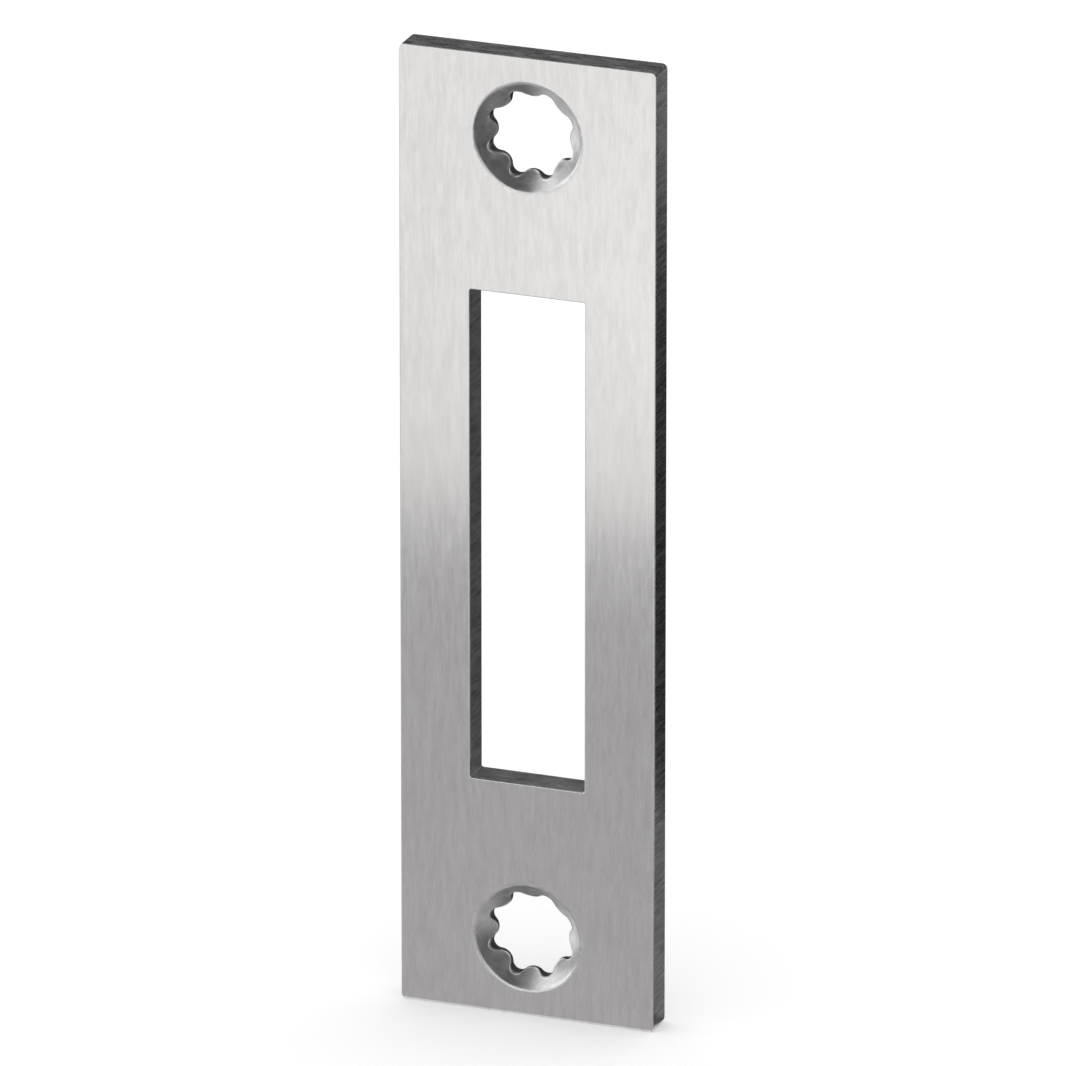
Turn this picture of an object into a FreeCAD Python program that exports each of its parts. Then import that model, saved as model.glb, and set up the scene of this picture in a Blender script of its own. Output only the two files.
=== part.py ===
import FreeCAD
import Part
import Sketcher
import math
import os
from FreeCAD import Vector

# A door strike plate: one flat bar of stainless steel with a bolt slot and two
# countersunk screw holes. The origin is the middle of the back face, which lies
# against the door frame. The front faces -Y, and the length runs along Z.

# driving sizes in millimetres, and the countersink angle in degrees
SIZES = [
    ("plate_width", 24.0),
    ("plate_length", 90.0),
    ("plate_thickness", 3.0),
    ("plate_corner_radius", 0.5),
    ("front_edge_radius", 0.12),
    ("back_edge_radius", 0.2),
    ("slot_width", 10.8),
    ("slot_length", 46.0),
    ("slot_corner_radius", 0.3),
    ("slot_edge_radius", 0.12),
    ("hole_end_distance", 7.4),
    ("sink_diameter", 9.7),
    ("sink_angle", 90.0),
    ("sink_land", 0.4),
    ("sink_edge_radius", 0.25),
    ("star_diameter", 8.16),
    ("star_corner_radius", 0.4),
    ("tooth_count", 8),
    ("tooth_tip_diameter", 6.66),
    ("tooth_radius", 1.35),
    ("star_back_bevel", 0.6),
]

doc = FreeCAD.newDocument("strike_plate_model")
sheet = doc.addObject("Spreadsheet::Sheet", "sizes")
for row, (name, value) in enumerate(SIZES, start=1):
    sheet.set(f"A{row}", name)
    sheet.set(f"B{row}", str(value))
    sheet.setAlias(f"B{row}", name)
doc.recompute()

size = dict(SIZES)
body = doc.addObject("PartDesign::Body", "plate_body")
body.Label = "strike_plate"
planes = {feature.Role: feature for feature in body.Origin.OriginFeatures}


def new_sketch(name, plane):
    sketch = body.newObject("Sketcher::SketchObject", name)
    sketch.AttachmentSupport = [(planes[plane], "")]
    sketch.MapMode = "FlatFace"
    return sketch


def size_constraint(sketch, constraint, name, expression):
    index = sketch.addConstraint(constraint)
    sketch.renameConstraint(index, name)
    sketch.setExpression(f"Constraints.{name}", expression)


def rounded_rectangle(sketch, width, length, radius):
    """Draw a centred rectangle with rounded corners, sized by three cells."""
    x = size[width] / 2
    y = size[length] / 2
    r = size[radius]
    normal = Vector(0, 0, 1)
    corners = [
        (Vector(x - r, r - y, 0), -math.pi / 2),
        (Vector(x - r, y - r, 0), 0.0),
        (Vector(r - x, y - r, 0), math.pi / 2),
        (Vector(r - x, r - y, 0), math.pi),
    ]
    arcs = [
        Part.ArcOfCircle(Part.Circle(centre, normal, r), start, start + math.pi / 2)
        for centre, start in corners
    ]
    for index, arc in enumerate(arcs):
        before = arcs[index - 1]
        sketch.addGeometry(Part.LineSegment(before.EndPoint, arc.StartPoint))
        sketch.addGeometry(arc)
    for index in range(8):
        sketch.addConstraint(Sketcher.Constraint("Tangent", index, 2, (index + 1) % 8, 1))
    for line in (0, 4):
        sketch.addConstraint(Sketcher.Constraint("Horizontal", line))
    for line in (2, 6):
        sketch.addConstraint(Sketcher.Constraint("Vertical", line))
    for arc in (3, 5, 7):
        sketch.addConstraint(Sketcher.Constraint("Equal", 1, arc))
    sketch.addConstraint(Sketcher.Constraint("Symmetric", 1, 3, 5, 3, -1, 1))
    size_constraint(
        sketch, Sketcher.Constraint("DistanceX", 6, 1, 2, 1, 2 * x), "width", f"sizes.{width}"
    )
    size_constraint(
        sketch, Sketcher.Constraint("DistanceY", 0, 1, 4, 1, 2 * y), "length", f"sizes.{length}"
    )
    size_constraint(
        sketch, Sketcher.Constraint("Radius", 1, r), "corner_radius", f"sizes.{radius}"
    )


def pad(name, sketch):
    """Raise a profile on the back plane forward by the plate's thickness."""
    feature = body.newObject("PartDesign::Pad", name)
    feature.Profile = sketch
    feature.setExpression("Length", "sizes.plate_thickness")
    doc.recompute()
    return feature


def must_shrink(feature, volume):
    if feature.Shape.Volume >= volume:
        raise ValueError(f"{feature.Name} removes no material")


def pocket(name, sketch):
    """Cut a profile on the back plane forward through the plate."""
    volume = body.Shape.Volume
    feature = body.newObject("PartDesign::Pocket", name)
    feature.Profile = sketch
    feature.Type = "ThroughAll"
    feature.Reversed = True
    doc.recompute()
    must_shrink(feature, volume)


def edge_names(feature, wanted):
    return [
        f"Edge{index}"
        for index, edge in enumerate(feature.Shape.Edges, start=1)
        if wanted(edge)
    ]


def dress_edges(kind, measure, name, wanted, cell):
    """Dress the edges of the present solid that the test picks."""
    base = body.Tip
    edges = edge_names(base, wanted)
    if not edges:
        raise ValueError(f"{name} finds no edge")
    feature = body.newObject(f"PartDesign::{kind}", name)
    feature.Base = (base, edges)
    feature.setExpression(measure, f"sizes.{cell}")
    doc.recompute()
    return feature


def fillet(name, wanted, radius):
    dress_edges("Fillet", "Radius", name, wanted, radius)


def bevel(name, wanted, width):
    volume = body.Shape.Volume
    feature = dress_edges("Chamfer", "Size", name, wanted, width)
    must_shrink(feature, volume)


def lies_at(edge, depth):
    """Tell whether an edge lies in the plane at this depth behind the front."""
    level = depth - size["plate_thickness"]
    box = edge.BoundBox
    return abs(box.YMin - level) < 1e-5 and abs(box.YMax - level) < 1e-5


# the flat bar, with rounded corners and softened outer edges
outline = new_sketch("plate_outline", "XZ_Plane")
rounded_rectangle(outline, "plate_width", "plate_length", "plate_corner_radius")
pad("plate_bar", outline)
fillet("front_edges", lambda edge: lies_at(edge, 0), "front_edge_radius")
fillet(
    "back_edges",
    lambda edge: lies_at(edge, size["plate_thickness"]),
    "back_edge_radius",
)

# the slot that the bolt enters, with its front edge broken
slot = new_sketch("slot_outline", "XZ_Plane")
rounded_rectangle(slot, "slot_width", "slot_length", "slot_corner_radius")
pocket("bolt_slot", slot)


def on_slot(edge):
    box = edge.BoundBox
    inside_x = max(-box.XMin, box.XMax) <= size["slot_width"] / 2 + 1e-5
    inside_z = max(-box.ZMin, box.ZMax) <= size["slot_length"] / 2 + 1e-5
    return inside_x and inside_z


fillet(
    "slot_front_edges",
    lambda edge: lies_at(edge, 0) and on_slot(edge),
    "slot_edge_radius",
)


def screw_hole(name, side):
    """Make one screw hole: a toothed star hole with a countersink over it."""
    height = side * (size["plate_length"] / 2 - size["hole_end_distance"])
    height_rule = f"{side} * (sizes.plate_length / 2 - sizes.hole_end_distance)"
    star_radius = size["star_diameter"] / 2
    sink_radius = size["sink_diameter"] / 2

    def place(sketch):
        sketch.AttachmentOffset = FreeCAD.Placement(Vector(0, height, 0), FreeCAD.Rotation())
        sketch.setExpression("AttachmentOffset.Base.y", height_rule)

    def from_axis(vertex):
        return math.hypot(vertex.X, vertex.Z - height)

    # round bore through the points of the star
    bore = new_sketch(f"{name}_bore_circle", "XZ_Plane")
    place(bore)
    bore.addGeometry(Part.Circle(Vector(0, 0, 0), Vector(0, 0, 1), star_radius))
    bore.addConstraint(Sketcher.Constraint("Coincident", 0, 3, -1, 1))
    size_constraint(
        bore,
        Sketcher.Constraint("Diameter", 0, 2 * star_radius),
        "star_diameter",
        "sizes.star_diameter",
    )
    pocket(f"{name}_bore", bore)

    # one rounded tooth that stands into the bore, closed inside the plate
    tooth_radius = size["tooth_radius"]
    tooth_height = size["tooth_tip_diameter"] / 2 + tooth_radius
    tooth = new_sketch(f"{name}_tooth_outline", "XZ_Plane")
    place(tooth)
    circle = Part.Circle(Vector(0, tooth_height, 0), Vector(0, 0, 1), tooth_radius)
    arc = Part.ArcOfCircle(circle, math.pi, 2 * math.pi)
    tooth.addGeometry(arc)
    tooth.addGeometry(Part.LineSegment(arc.EndPoint, arc.StartPoint))
    tooth.addConstraint(Sketcher.Constraint("Coincident", 0, 2, 1, 1))
    tooth.addConstraint(Sketcher.Constraint("Coincident", 1, 2, 0, 1))
    tooth.addConstraint(Sketcher.Constraint("Horizontal", 1))
    tooth.addConstraint(Sketcher.Constraint("PointOnObject", 0, 3, 1))
    tooth.addConstraint(Sketcher.Constraint("PointOnObject", 0, 3, -2))
    size_constraint(
        tooth,
        Sketcher.Constraint("Radius", 0, tooth_radius),
        "tooth_radius",
        "sizes.tooth_radius",
    )
    size_constraint(
        tooth,
        Sketcher.Constraint("DistanceY", -1, 1, 0, 3, tooth_height),
        "tooth_height",
        "sizes.tooth_tip_diameter / 2 + sizes.tooth_radius",
    )
    first_tooth = pad(f"{name}_tooth", tooth)

    # the ring of teeth
    teeth = body.newObject("PartDesign::PolarPattern", f"{name}_teeth")
    teeth.Originals = [first_tooth]
    teeth.Axis = (tooth, ["N_Axis"])
    teeth.Angle = 360
    teeth.setExpression("Occurrences", "sizes.tooth_count")
    body.Tip = teeth
    doc.recompute()

    # the points of the star between the teeth
    fillet(
        f"{name}_star_points",
        lambda edge: len(edge.Vertexes) == 2
        and edge.BoundBox.YLength > size["plate_thickness"] / 2
        and all(abs(from_axis(vertex) - star_radius) < 1e-4 for vertex in edge.Vertexes),
        "star_corner_radius",
    )

    # the bevel round the star on the back
    bevel(
        f"{name}_star_back_bevel",
        lambda edge: lies_at(edge, size["plate_thickness"])
        and all(from_axis(vertex) < star_radius + 1e-4 for vertex in edge.Vertexes),
        "star_back_bevel",
    )

    # countersink: a short straight land at the front, then the cone
    front = -size["plate_thickness"]
    land_end = front + size["sink_land"]
    apex = land_end + sink_radius / math.tan(math.radians(size["sink_angle"] / 2))
    sink = new_sketch(f"{name}_sink_outline", "YZ_Plane")
    place(sink)
    points = [
        Vector(front, 0, 0),
        Vector(front, sink_radius, 0),
        Vector(land_end, sink_radius, 0),
        Vector(apex, 0, 0),
    ]
    for index, point in enumerate(points):
        sink.addGeometry(Part.LineSegment(point, points[(index + 1) % 4]))
    for index in range(4):
        sink.addConstraint(Sketcher.Constraint("Coincident", index, 2, (index + 1) % 4, 1))
    sink.addConstraint(Sketcher.Constraint("Vertical", 0))
    sink.addConstraint(Sketcher.Constraint("Horizontal", 1))
    sink.addConstraint(Sketcher.Constraint("PointOnObject", 0, 1, -1))
    sink.addConstraint(Sketcher.Constraint("PointOnObject", 2, 2, -1))
    size_constraint(
        sink,
        Sketcher.Constraint("DistanceX", 0, 1, -1, 1, -front),
        "front_depth",
        "sizes.plate_thickness",
    )
    size_constraint(
        sink,
        Sketcher.Constraint("DistanceY", 0, 1, 0, 2, sink_radius),
        "sink_radius",
        "sizes.sink_diameter / 2",
    )
    size_constraint(
        sink,
        Sketcher.Constraint("DistanceX", 1, 1, 1, 2, land_end - front),
        "land",
        "sizes.sink_land",
    )
    size_constraint(
        sink,
        Sketcher.Constraint("DistanceX", 1, 2, 2, 2, apex - land_end),
        "cone_depth",
        "sizes.sink_diameter / 2 / tan(sizes.sink_angle / 2 * 1 deg)",
    )
    volume = body.Shape.Volume
    groove = body.newObject("PartDesign::Groove", f"{name}_countersink")
    groove.Profile = sink
    groove.ReferenceAxis = (sink, ["H_Axis"])
    groove.Angle = 360
    doc.recompute()
    must_shrink(groove, volume)
    fillet(
        f"{name}_sink_front_edge",
        lambda edge: lies_at(edge, 0)
        and all(abs(from_axis(vertex) - sink_radius) < 1e-4 for vertex in edge.Vertexes),
        "sink_edge_radius",
    )


screw_hole("upper", 1)
screw_hole("lower", -1)
doc.recompute()

# every feature must have solved before the plate is written
for item in doc.Objects:
    if "Invalid" in item.State or "Error" in item.State:
        raise ValueError(f"{item.Name} did not solve")
if body.Shape.isNull() or not body.Shape.isValid() or len(body.Shape.Solids) != 1:
    raise ValueError("the plate is not one valid solid")

os.makedirs("parts", exist_ok=True)
body.Shape.exportStep(f"parts/{body.Label}.step")
print(f"{body.Label}: {body.Shape.Volume:.2f} cubic millimetres")
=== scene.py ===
import bmesh
import bpy
import math
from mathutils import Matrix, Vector


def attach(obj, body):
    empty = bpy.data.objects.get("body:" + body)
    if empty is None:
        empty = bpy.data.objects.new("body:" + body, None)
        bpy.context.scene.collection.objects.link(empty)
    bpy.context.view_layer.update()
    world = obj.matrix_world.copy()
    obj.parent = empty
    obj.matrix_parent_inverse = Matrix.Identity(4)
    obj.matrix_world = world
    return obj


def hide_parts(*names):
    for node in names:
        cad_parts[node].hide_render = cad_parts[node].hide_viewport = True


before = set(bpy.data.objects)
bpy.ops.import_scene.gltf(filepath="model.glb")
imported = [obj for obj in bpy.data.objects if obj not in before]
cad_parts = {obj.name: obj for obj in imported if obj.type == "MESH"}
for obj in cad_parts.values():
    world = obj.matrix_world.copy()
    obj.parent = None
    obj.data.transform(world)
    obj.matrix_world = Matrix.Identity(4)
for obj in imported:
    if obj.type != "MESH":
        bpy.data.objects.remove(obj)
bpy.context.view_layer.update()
scene = bpy.context.scene

mm = 0.001
quarterTurn = math.pi / 2
fullTurn = math.pi * 2
white = (1.0, 1.0, 1.0)


def fill(tree, node, values):
    # links what comes from another node, and sets what is a plain value
    for name, value in values.items():
        socket = node.inputs[name]
        if isinstance(value, Field):
            value = value.source
        if isinstance(value, bpy.types.NodeSocket):
            tree.links.new(value, socket)
        else:
            socket.default_value = value


def addNode(tree, kind, values=None, **settings):
    node = tree.nodes.new(kind)
    for name, value in settings.items():
        setattr(node, name, value)
    fill(tree, node, values or {})
    return node


# a number field: plain arithmetic on it writes Math nodes
class Field:
    def __init__(self, tree, source):
        self.tree = tree
        self.source = source

    def math(self, operation, *others):
        values = dict(enumerate((self, *others)))
        node = addNode(self.tree, "ShaderNodeMath", values, operation=operation)
        return Field(self.tree, node.outputs[0])

    def __add__(self, other):
        return self.math("ADD", other)

    def __sub__(self, other):
        return self.math("SUBTRACT", other)

    def __rsub__(self, other):
        return self.math("MULTIPLY_ADD", -1.0, other)

    def __mul__(self, other):
        return self.math("MULTIPLY", other)

    def __rmul__(self, other):
        return self.math("MULTIPLY", other)

    def __truediv__(self, other):
        return self.math("DIVIDE", other)

    def __rtruediv__(self, other):
        return self.math("POWER", -1.0) * other

    def sin(self):
        return self.math("SINE")

    def cos(self):
        return self.math("COSINE")

    def root(self):
        return self.math("SQRT")

    def magnitude(self):
        return self.math("ABSOLUTE")

    def floor(self):
        return self.math("FLOOR")

    def rounded(self):
        return self.math("ROUND")

    def sign(self):
        return self.math("SIGN")

    def least(self, other):
        return self.math("MINIMUM", other)

    def most(self, other):
        return self.math("MAXIMUM", other)

    def above(self, other):
        return self.math("GREATER_THAN", other)


# stainless steel finishes; the punched wall's dark colour is painted shade
edgeColour = (0.53, 0.52, 0.52)
finishes = {     # grain: mm of one streak along x, y and z; turn: its slant in degrees; depth: mm
    "brushedFace": {
        "colour": (0.757, 0.748, 0.737), "roughness": 0.235, "spread": 0.1, "anisotropy": 0.9,
        "grain": (0.15, 0.6, 0.95), "turn": 0.0, "contrast": 0.28, "depth": 0.0006,
    },
    "cutEdge": {
        "colour": edgeColour, "roughness": 0.28, "spread": 0.3, "anisotropy": 0.0,
        "grain": (0.7, 1.3, 0.11), "turn": 20.0, "contrast": 1.5, "depth": 0.006,
    },
    "cutEnd": {
        "colour": edgeColour, "roughness": 0.28, "spread": 0.3, "anisotropy": 0.0,
        "grain": (0.9, 0.25, 0.25), "turn": 0.0, "contrast": 2.1, "depth": 0.006,
    },
    "turnedSink": {
        "colour": (0.72, 0.712, 0.712), "roughness": 0.33, "spread": 0.2, "anisotropy": 0.4,
        "grain": (0.45, 0.16, 0.35), "turn": 0.0, "contrast": 0.55, "depth": 0.006,
    },
    "slotWall": {
        "colour": (0.86, 0.85, 0.85), "roughness": 0.34, "spread": 0.3, "anisotropy": 0.0,
        "grain": (0.7, 1.3, 0.14), "turn": -18.0, "contrast": 0.8, "depth": 0.005,
    },
    "slotEnd": {
        "colour": edgeColour, "roughness": 0.34, "spread": 0.3, "anisotropy": 0.0,
        "grain": (0.7, 0.25, 0.25), "turn": 0.0, "contrast": 1.3, "depth": 0.005,
    },
    # the star's wall: its steel colour is darkened to paint the shade inside the hole
    "punchedWallPaintedShade": {
        "colour": (0.17, 0.17, 0.17), "roughness": 0.34, "spread": 0.2, "anisotropy": 0.0,
        "grain": (0.2, 1.5, 0.2), "turn": 0.0, "contrast": 0.3, "depth": 0.003,
    },
}
grainNoise = [
    {"Scale": 1.0, "Detail": 3.0, "Roughness": 0.6},      # fine streaks
    {"Scale": 0.33, "Detail": 2.0, "Roughness": 0.5},     # broad ones
]
noiseMiddle = 0.5       # the noise wanders about this
darkestStreak = 0.1     # share of the colour that is left in the darkest streak


def grainGroup():
    # stretched noise for brushed, cut and turned metal
    group = bpy.data.node_groups.new("metalGrain", "ShaderNodeTree")
    face = group.interface
    face.new_socket("Vector", in_out="INPUT", socket_type="NodeSocketVector")
    face.new_socket("Contrast", in_out="INPUT", socket_type="NodeSocketFloat")
    face.new_socket("Colour", in_out="INPUT", socket_type="NodeSocketColor")
    face.new_socket("Colour", in_out="OUTPUT", socket_type="NodeSocketColor")
    face.new_socket("Streak", in_out="OUTPUT", socket_type="NodeSocketFloat")
    start = group.nodes.new("NodeGroupInput")

    def noiseField(noise):
        node = addNode(group, "ShaderNodeTexNoise", {"Vector": start.outputs["Vector"], **noise})
        return Field(group, node.outputs["Fac"])

    fine, broad = [noiseField(noise) for noise in grainNoise]
    streak = (fine + broad) / len(grainNoise)
    contrast = Field(group, start.outputs["Contrast"])
    level = ((streak - noiseMiddle) / noiseMiddle * contrast + 1.0).most(darkestStreak)
    tint = addNode(group, "ShaderNodeVectorMath", {
        0: start.outputs["Colour"], 1: level,
    }, operation="MULTIPLY")
    addNode(group, "NodeGroupOutput", {"Colour": tint.outputs[0], "Streak": streak})
    return group


metalGrain = grainGroup()


def metal(name, finish):
    material = bpy.data.materials.new(name)
    material.use_nodes = True
    tree = material.node_tree
    place = tree.nodes.new("ShaderNodeTexCoord")
    mapping = addNode(tree, "ShaderNodeMapping", {
        "Vector": place.outputs["Object"],
        "Rotation": (math.radians(finish["turn"]), 0.0, 0.0),
        "Scale": [1.0 / (streakSize * mm) for streakSize in finish["grain"]],
    })
    grain = addNode(tree, "ShaderNodeGroup", {
        "Vector": mapping.outputs[0],
        "Contrast": finish["contrast"],
        "Colour": (*finish["colour"], 1.0),
    }, node_tree=metalGrain)
    streak = Field(tree, grain.outputs["Streak"])
    bump = addNode(tree, "ShaderNodeBump", {
        "Height": streak, "Strength": 1.0, "Distance": finish["depth"] * mm,
    })
    tangent = addNode(tree, "ShaderNodeTangent", direction_type="UV_MAP", uv_map="grain")
    fill(tree, tree.nodes["Principled BSDF"], {
        "Metallic": 1.0,
        "Anisotropic": finish["anisotropy"],
        "Base Color": grain.outputs["Colour"],
        "Roughness": (streak - noiseMiddle) * finish["spread"] + finish["roughness"],
        "Normal": bump.outputs[0],
        "Tangent": tangent.outputs[0],
    })
    return material


metals = {name: metal(name, finish) for name, finish in finishes.items()}
print("finishes made")


# the plate, sizes in millimetres
plate = {
    "Plate Width": 24.0,
    "Plate Length": 90.0,
    "Plate Thickness": 3.0,
    "Corner Radius": 0.5,
    "Front Edge": 0.09,
    "Back Edge": 0.2,
    "Slot Width": 10.8,
    "Slot Length": 46.0,
    "Slot Corner": 0.2,
    "Slot Edge": 0.08,
    "Slot Back Edge": 0.05,
    "Hole Spacing": 75.2,
    "Sink Radius": 5.03,         # where the cone would meet the front face
    "Sink Slope": 1.03,          # depth of the cone for each mm of radius
    "Sink Rim": 0.5,             # radius of the roll round the countersink
    "Tooth Count": 8.0,
    "Tooth Tip Radius": 3.36,    # from the middle of the hole to a tooth's tip
    "Tooth Radius": 1.15,
    "Star Radius": 4.12,         # from the middle of the hole to a star's point
    "Star Edge": 0.12,
    "Star Back Bevel": 1.0,
}
segments = {
    "flat": 1,
    "corner": 8,      # round one corner
    "hole": 360,      # round one screw hole
    "roll": 6,        # over a rounded edge
    "side": 3,        # down a side of the plate or the slot
    "cone": 12,       # down a countersink
    "lip": 3,         # over the edge of a star
    "wall": 4,        # down the wall of a star
    "bevel": 2,       # over the bevel behind a star
}
framePoints = 4 * (segments["corner"] + 1)     # round the plate or the slot
flatRing = 0.05        # mm of flat kept beside each rounded edge
lipAtTip = 0.3         # share of the star's rolled edge that is left at a tooth's tip
lipDepth = 1.4         # depth of that edge for each mm of its width
endFacing = 0.7        # a side that faces along the plate by more than this is an end
grainRound = 50.0      # grain map units round one strip
nudge = 0.001          # keeps a whole number from being rounded down
weldGap = 0.001        # mm within which neighbouring strips are welded
creaseAngle = math.radians(35)     # folds sharper than this stay crisp


def plateTree():
    tree = bpy.data.node_groups.new("strikePlateShape", "GeometryNodeTree")
    tree.interface.new_socket("Geometry", in_out="OUTPUT", socket_type="NodeSocketGeometry")
    for name in plate:
        tree.interface.new_socket(name, in_out="INPUT", socket_type="NodeSocketFloat")
    sizes = tree.nodes.new("NodeGroupInput")
    size = {name: Field(tree, sizes.outputs[name]) for name in plate}
    thickness = size["Plate Thickness"]

    def placed(geometry, x, y, z):
        point = addNode(tree, "ShaderNodeCombineXYZ", {"X": x, "Y": y, "Z": z})
        return addNode(tree, "GeometryNodeSetPosition", {
            "Geometry": geometry, "Position": point.outputs[0],
        }).outputs[0]

    def flatPlace():
        place = tree.nodes.new("GeometryNodeInputPosition")
        parted = addNode(tree, "ShaderNodeSeparateXYZ", {0: place.outputs[0]})
        return Field(tree, parted.outputs[0]), Field(tree, parted.outputs[1])

    def finished(geometry, material, grainX, grainY):
        uv = addNode(tree, "ShaderNodeCombineXYZ", {"X": grainX, "Y": grainY})
        stored = addNode(tree, "GeometryNodeStoreNamedAttribute", {
            "Geometry": geometry, "Name": "grain", "Value": uv.outputs[0],
        }, data_type="FLOAT2", domain="CORNER")
        return addNode(tree, "GeometryNodeSetMaterial", {
            "Geometry": stored.outputs[0], "Material": material,
        }).outputs[0]

    def strip(around, rows, material, path, profile):
        # a ring of quads: path makes a point from the share round and the step along the profile
        grid = addNode(tree, "GeometryNodeMeshGrid", {
            "Size X": 1.0, "Size Y": 1.0, "Vertices X": around + 1, "Vertices Y": rows + 1,
        })
        x, y = flatPlace()
        share = x + 0.5
        step = y + 0.5
        grained = finished(grid.outputs[0], material, share * grainRound, step)
        return placed(grained, *path(share, step, profile))

    # a rounded rectangle, drawn through its corner arcs
    def frameEdge(side, width, length, radius):
        points = segments["corner"] + 1

        def path(share, step, profile):
            inset, height = profile(step)
            index = (share * framePoints).rounded()
            corner = (index / points + nudge).floor()
            turn = ((index - corner * points) / segments["corner"] + corner) * quarterTurn
            middle = (corner + 0.5) * quarterTurn
            reach = radius - inset * side
            x = middle.cos().sign() * (width / 2 - radius) + turn.cos() * reach
            y = middle.sin().sign() * (length / 2 - radius) + turn.sin() * reach
            return x, y, height

        return path

    def edgeProfiles(front, back):
        # strips from the front face to the back: rows, inset and height, and if it is a side
        return [
            (segments["flat"], lambda step: (
                front + flatRing * (1.0 - step), thickness,
            ), False),
            (segments["roll"], lambda step: (
                front * (1.0 - (step * quarterTurn).sin()),
                thickness - front * (1.0 - (step * quarterTurn).cos()),
            ), False),
            (segments["side"], lambda step: (
                0.0, thickness - front - step * (thickness - front - back),
            ), True),
            (segments["roll"], lambda step: (
                back * (1.0 - (step * quarterTurn).cos()),
                back * (1.0 - (step * quarterTurn).sin()),
            ), True),
            (segments["flat"], lambda step: (back + flatRing * step, 0.0), False),
        ]

    outerPath = frameEdge(
        1.0, size["Plate Width"], size["Plate Length"], size["Corner Radius"],
    )
    slotPath = frameEdge(
        -1.0, size["Slot Width"], size["Slot Length"], size["Slot Corner"],
    )
    parts = []
    normal = tree.nodes.new("GeometryNodeInputNormal")
    facing = addNode(tree, "ShaderNodeSeparateXYZ", {0: normal.outputs[0]})
    atEnd = Field(tree, facing.outputs[1]).magnitude().above(endFacing)
    for path, front, back, sideFinish, endFinish in (
        (outerPath, size["Front Edge"], size["Back Edge"], "cutEdge", "cutEnd"),
        (slotPath, size["Slot Edge"], size["Slot Back Edge"], "slotWall", "slotEnd"),
    ):
        for rows, profile, isSide in edgeProfiles(front, back):
            finish = sideFinish if isSide else "brushedFace"
            made = strip(framePoints, rows, metals[finish], path, profile)
            if isSide:
                made = addNode(tree, "GeometryNodeSetMaterial", {
                    "Geometry": made, "Selection": atEnd, "Material": metals[endFinish],
                }).outputs[0]
            parts.append(made)

    # one screw hole, from its rim to the back of the star
    rim, slope = size["Sink Rim"], size["Sink Slope"]
    sink, star = size["Sink Radius"], size["Star Radius"]
    tip, tooth = size["Tooth Tip Radius"], size["Tooth Radius"]
    edge, bevel = size["Star Edge"], size["Star Back Bevel"]

    # tooth arcs joined by the notch arcs that touch them
    half = math.pi / size["Tooth Count"]
    centre = tip + tooth
    inward = centre * half.cos()
    notch = (centre * centre + star * star - 2.0 * star * inward - tooth * tooth) / (
        2.0 * (tooth + star - inward)
    )
    notchCentre = star - notch
    toothShare = tooth / (tooth + notch)
    meeting = (notchCentre * half.sin() * toothShare).math(
        "ARCTAN2", centre + (notchCentre * half.cos() - centre) * toothShare,
    )

    def arcDepth(radius, across):
        return (radius * radius - across * across).most(0.0).root()

    def starRadius(angle):
        off = (angle - (angle / (half * 2.0)).rounded() * half * 2.0).magnitude()
        rest = half - off
        onTooth = off.cos() * centre - arcDepth(tooth, off.sin() * centre)
        onNotch = rest.cos() * notchCentre + arcDepth(notch, rest.sin() * notchCentre)
        return onTooth + (onNotch - onTooth) * off.above(meeting)

    # the roll round the countersink reaches from rimOut in to rimIn
    tilt = slope.math("ARCTANGENT")
    rimOut = sink + rim * (tilt * 0.5).math("TANGENT")
    rimIn = rimOut - rim * tilt.sin()

    def coneHeight(radius):
        return thickness - (sink - radius) * slope

    def lip(radius):
        # the star's rolled edge is widest in the notches
        return edge * ((radius - tip) / (star - tip) + lipAtTip)

    def lipHeight(radius, drop):
        return coneHeight(radius + lip(radius)) - lip(radius) * lipDepth * drop

    def coneRadius(step, starAt):
        return rimIn * (1.0 - step) + (starAt + lip(starAt)) * step

    def holePath(share, step, profile):
        angle = share * fullTurn
        radius, height = profile(step, starRadius(angle))
        return angle.cos() * radius, angle.sin() * radius, height

    holeProfiles = [     # rows, radius and height, finish
        (segments["flat"], lambda step, starAt: (
            rimOut + flatRing * (1.0 - step), thickness,
        ), "brushedFace"),
        (segments["roll"], lambda step, starAt: (
            rimOut - rim * (step * tilt).sin(), thickness - rim * (1.0 - (step * tilt).cos()),
        ), "turnedSink"),
        (segments["cone"], lambda step, starAt: (
            coneRadius(step, starAt), coneHeight(coneRadius(step, starAt)),
        ), "turnedSink"),
        (segments["lip"], lambda step, starAt: (
            starAt + lip(starAt) * (1.0 - (step * quarterTurn).sin()),
            lipHeight(starAt, 1.0 - (step * quarterTurn).cos()),
        ), "turnedSink"),
        # the star's wall, with painted shade in its dark colour
        (segments["wall"], lambda step, starAt: (
            starAt, lipHeight(starAt, 1.0) * (1.0 - step) + bevel * step,
        ), "punchedWallPaintedShade"),
        (segments["bevel"], lambda step, starAt: (
            starAt + bevel * step, bevel * (1.0 - step),
        ), "turnedSink"),
        (segments["flat"], lambda step, starAt: (
            starAt + bevel + flatRing * step, 0.0,
        ), "brushedFace"),
    ]
    holeJoin = tree.nodes.new("GeometryNodeJoinGeometry")
    for rows, profile, finish in holeProfiles:
        made = strip(segments["hole"], rows, metals[finish], holePath, profile)
        tree.links.new(made, holeJoin.inputs[0])
    along = addNode(tree, "ShaderNodeCombineXYZ", {"Y": size["Hole Spacing"]})
    first = addNode(tree, "ShaderNodeCombineXYZ", {"Y": size["Hole Spacing"] * -0.5})
    centres = addNode(tree, "GeometryNodeMeshLine", {
        "Count": 2, "Start Location": first.outputs[0], "Offset": along.outputs[0],
    })

    def atHoles(geometry):
        return addNode(tree, "GeometryNodeInstanceOnPoints", {
            "Points": centres.outputs[0], "Instance": geometry,
        }).outputs[0]

    parts.append(atHoles(holeJoin.outputs[0]))

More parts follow.
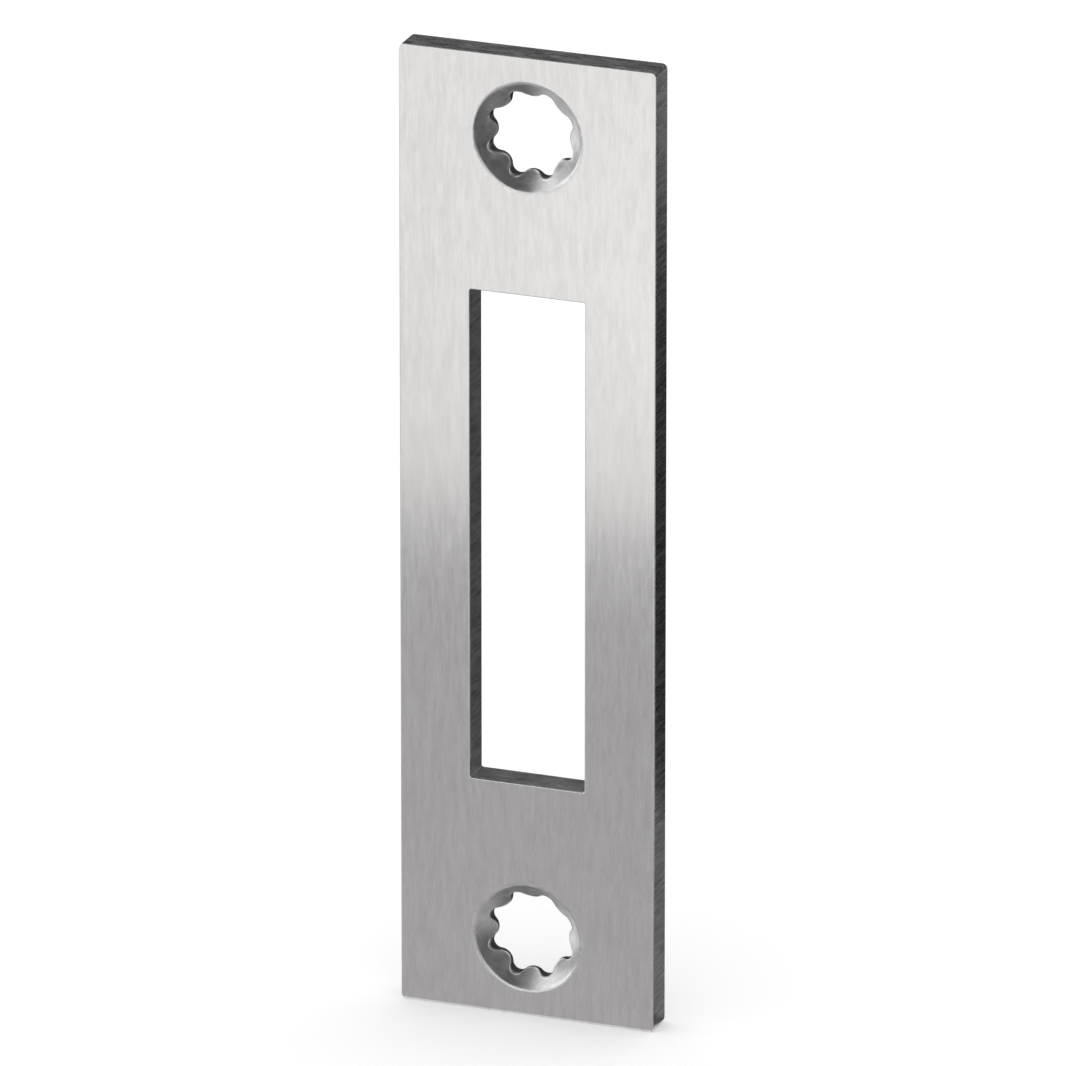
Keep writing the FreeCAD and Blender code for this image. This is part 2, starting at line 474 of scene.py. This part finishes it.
    # the flat faces, filled between the plate's edge, the slot and the holes
    def ring(points, place):
        circle = addNode(tree, "GeometryNodeCurvePrimitiveCircle", {"Resolution": points})
        index = Field(tree, tree.nodes.new("GeometryNodeInputIndex").outputs[0])
        return placed(circle.outputs[0], *place(index / points))

    def face(outer, slot, holeRadius, height):
        loops = tree.nodes.new("GeometryNodeJoinGeometry")

        def frameLoop(path, inset):
            return ring(framePoints, lambda share: path(
                share, 0.0, lambda step: (inset + flatRing, 0.0),
            ))

        def holeLoop(share):
            return holePath(share, 0.0, lambda step, starAt: (holeRadius(starAt) + flatRing, 0.0))

        pair = atHoles(ring(segments["hole"], holeLoop))
        holes = addNode(tree, "GeometryNodeRealizeInstances", {"Geometry": pair}).outputs[0]
        for loop in (frameLoop(outerPath, outer), frameLoop(slotPath, slot), holes):
            tree.links.new(loop, loops.inputs[0])
        filled = addNode(tree, "GeometryNodeFillCurve", {"Curve": loops.outputs[0]}, mode="TRIANGLES")
        grained = finished(filled.outputs[0], metals["brushedFace"], *flatPlace())
        lift = addNode(tree, "ShaderNodeCombineXYZ", {"Z": height})
        return addNode(tree, "GeometryNodeTransform", {
            "Geometry": grained, "Translation": lift.outputs[0],
        }).outputs[0]

    parts.append(face(
        size["Front Edge"], size["Slot Edge"], lambda starAt: rimOut, thickness,
    ))
    parts.append(face(
        size["Back Edge"], size["Slot Back Edge"], lambda starAt: starAt + bevel, 0.0,
    ))

    # all strips and faces in one closed mesh, stood upright
    join = tree.nodes.new("GeometryNodeJoinGeometry")
    for part in parts:
        tree.links.new(part, join.inputs[0])
    real = addNode(tree, "GeometryNodeRealizeInstances", {"Geometry": join.outputs[0]})
    welded = addNode(tree, "GeometryNodeMergeByDistance", {
        "Geometry": real.outputs[0], "Distance": weldGap,
    })
    smooth = addNode(tree, "GeometryNodeSetShadeSmooth", {"Geometry": welded.outputs[0]})
    fold = Field(tree, tree.nodes.new("GeometryNodeInputMeshEdgeAngle").outputs["Unsigned Angle"])
    crisp = addNode(tree, "GeometryNodeSetShadeSmooth", {
        "Geometry": smooth.outputs[0], "Selection": fold.above(creaseAngle), "Shade Smooth": False,
    }, domain="EDGE")
    upright = addNode(tree, "GeometryNodeTransform", {
        "Geometry": crisp.outputs[0], "Rotation": (quarterTurn, 0.0, 0.0), "Scale": (mm, mm, mm),
    })
    addNode(tree, "NodeGroupOutput", {"Geometry": upright.outputs[0]})
    return tree


def makePlate():
    shape = plateTree()
    piece = bpy.data.objects.new("strikePlateSteel", bpy.data.meshes.new("strikePlateSteel"))
    scene.collection.objects.link(piece)
    maker = piece.modifiers.new("shape", "NODES")
    maker.node_group = shape
    for item in shape.interface.items_tree:
        if item.item_type == "SOCKET" and item.in_out == "INPUT":
            maker[item.identifier] = plate[item.name]
    depsgraph = bpy.context.evaluated_depsgraph_get()
    mesh = bpy.data.meshes.new_from_object(piece.evaluated_get(depsgraph))
    piece.modifiers.remove(maker)
    piece.data = mesh
    solid = bmesh.new()
    solid.from_mesh(mesh)
    bmesh.ops.recalc_face_normals(solid, faces=solid.faces)
    openEdges = sum(1 for edge in solid.edges if len(edge.link_faces) != 2)
    print("plate faces", len(solid.faces), "open edges", openEdges)
    solid.to_mesh(mesh)
    solid.free()
    return piece


plateSteel = makePlate()
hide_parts("strike_plate")
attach(plateSteel, "root")
print("plate made")


# stage: floor, world and reflection cards
stage = {
    "floorHeight": -45.0,          # mm, under the plate's lower end
    "floorReach": 4000.0,          # mm from the plate to the floor's edges
    "floorColour": (0.93, 0.93, 0.93),
    "floorLift": 0.14,             # added where the floor is seen, so that it is white
    "worldStrength": 1.0,
    "cardGap": 0.2,                # mm between the floor and the cards on it
}
# cards on the floor: the level seen in the metal, and corners in mm
floorCards = {
    "nearCard": (0.475, [(-400, -122), (48, -122), (12.6, -3), (-400, -3)]),
    "leftDim": (0.72, [(-400, -170), (-82, -170), (-72, -122.5), (-400, -122.5)]),
    "leftFarDim": (0.88, [(-400, -245), (-95, -245), (-82, -170), (-400, -170)]),
    "rightBright": (1.25, [(-50, -250), (85, -250), (62, -172), (-50, -172)]),
    "rightFloorFlag": (0.12, [(11.7, 0.2), (137, -420), (420, -420), (420, 0.2)]),
    "footFlag": (0.22, [(-6, 0.2), (40, 0.2), (48, 14), (-8, 14)]),
    "heelFlag": (0.18, [(-30, 14), (48, 14), (60, 48), (-52, 48)]),
    "leftFootCard": (1.2, [(-40, 0.2), (-8.5, 0.2), (-11, 14), (-40, 14)]),
    "leftFloorCard": (1.15, [(-330, 10), (-165, 10), (-150, 120), (-330, 220)]),
    "leftBackFlag": (0.34, [(-80, 48), (-40, 48), (-40, 150), (-150, 100)]),
    "farFloorFlag": (0.03, [(-40, 48), (300, 48), (300, 228), (-40, 228)]),
    "backFloorFlag": (0.22, [(-40, 228), (420, 228), (420, 420), (-40, 420)]),
}
# cards that stand on the floor: level, two ends of the foot, and height of the top in mm
wallCards = {
    "rightFlag": (0.09, (420, -420), (420, 420), 450),
    "frontFlag": (0.12, (120, -600), (420, -600), 120),
    "backFlag": (0.14, (-500, 500), (500, 500), 500),
    "leftCard": (1.35, (-420, -300), (-420, 300), 450),
}
# cards overhead: level, height and corners in mm
topCards = {
    "topFlag": (0.09, 450, [(-260, -600), (420, -600), (420, 350), (-230, 350)]),
}
cardTints = {"nearCard": (1.0, 0.983, 1.013)}     # the other cards are grey


def flatCard(name, corners, material):
    mesh = bpy.data.meshes.new(name)
    mesh.from_pydata([Vector(corner) * mm for corner in corners], [], [(0, 1, 2, 3)])
    card = bpy.data.objects.new(name, mesh)
    card.data.materials.append(material)
    scene.collection.objects.link(card)
    return card


def floorMaterial():
    material = bpy.data.materials.new("paleFloor")
    material.use_nodes = True
    tree = material.node_tree
    ray = tree.nodes.new("ShaderNodeLightPath")
    seen = Field(tree, ray.outputs["Is Camera Ray"])
    seen = seen + Field(tree, ray.outputs["Is Glossy Ray"])
    seen = seen + Field(tree, ray.outputs["Is Transmission Ray"])
    fill(tree, tree.nodes["Principled BSDF"], {
        "Base Color": (*stage["floorColour"], 1.0),
        "Roughness": 1.0,
        "Specular IOR Level": 0.0,
        "Emission Color": (*white, 1.0),
        "Emission Strength": seen.least(1.0) * stage["floorLift"],
    })
    return material


def cardMaterial(name, colour):
    material = bpy.data.materials.new(name)
    material.use_nodes = True
    tree = material.node_tree
    tree.nodes.clear()
    glow = addNode(tree, "ShaderNodeEmission", {"Color": (*colour, 1.0)})
    addNode(tree, "ShaderNodeOutputMaterial", {"Surface": glow.outputs[0]})
    return material


def reflectionCard(name, corners, level):
    # seen only in the metal, so the floor's light and shadow stay as they are
    colour = Vector(cardTints.get(name, white)) * level
    card = flatCard(name, corners, cardMaterial(name, colour))
    card.visible_camera = False
    card.visible_diffuse = False
    card.visible_transmission = False
    card.visible_volume_scatter = False
    card.visible_shadow = False


def makeStage():
    floor, reach = stage["floorHeight"], stage["floorReach"]
    foot = floor + stage["cardGap"]
    flatCard("paleFloor", [
        (-reach, -reach, floor), (reach, -reach, floor), (reach, reach, floor), (-reach, reach, floor),
    ], floorMaterial())
    for name, (level, corners) in floorCards.items():
        reflectionCard(name, [(x, y, foot) for x, y in corners], level)
    for name, (level, start, end, top) in wallCards.items():
        reflectionCard(name, [(*start, foot), (*end, foot), (*end, top), (*start, top)], level)
    for name, (level, height, corners) in topCards.items():
        reflectionCard(name, [(x, y, height) for x, y in corners], level)
    world = bpy.data.worlds.new("studio")
    world.use_nodes = True
    fill(world.node_tree, world.node_tree.nodes["Background"], {
        "Color": (*white, 1.0), "Strength": stage["worldStrength"],
    })
    scene.world = world


makeStage()
print("stage made")


# camera, fitted to the photograph's edges
camera = {
    "azimuth": 20.335,        # degrees
    "elevation": 20.365,
    "distance": 1398.0,       # mm
    "lens": 535.6,            # mm
    "sensor": 36.0,           # mm
    "aimRight": 0.521,        # mm from the middle of the front face
    "aimUp": 0.807,
    "nearest": 10.0,          # mm, the range that it sees
    "farthest": 20000.0,
}


def makeCamera():
    azimuth = math.radians(camera["azimuth"])
    elevation = math.radians(camera["elevation"])
    back = Vector((
        math.sin(azimuth) * math.cos(elevation),
        -math.cos(azimuth) * math.cos(elevation),
        math.sin(elevation),
    ))
    right = Vector((math.cos(azimuth), math.sin(azimuth), 0.0))
    up = back.cross(right)
    aim = Vector((0.0, -plate["Plate Thickness"], 0.0))
    aim += right * camera["aimRight"] + up * camera["aimUp"]
    data = bpy.data.cameras.new("photoCamera")
    data.sensor_width = camera["sensor"]
    data.sensor_fit = "HORIZONTAL"
    data.lens = camera["lens"]
    data.clip_start = camera["nearest"] * mm
    data.clip_end = camera["farthest"] * mm
    item = bpy.data.objects.new("photoCamera", data)
    scene.collection.objects.link(item)
    item.location = (aim + back * camera["distance"]) * mm
    item.rotation_mode = "QUATERNION"
    item.rotation_quaternion = (-back).to_track_quat("-Z", "Y")
    scene.camera = item


makeCamera()
scene.view_settings.view_transform = "Standard"
print("camera made")
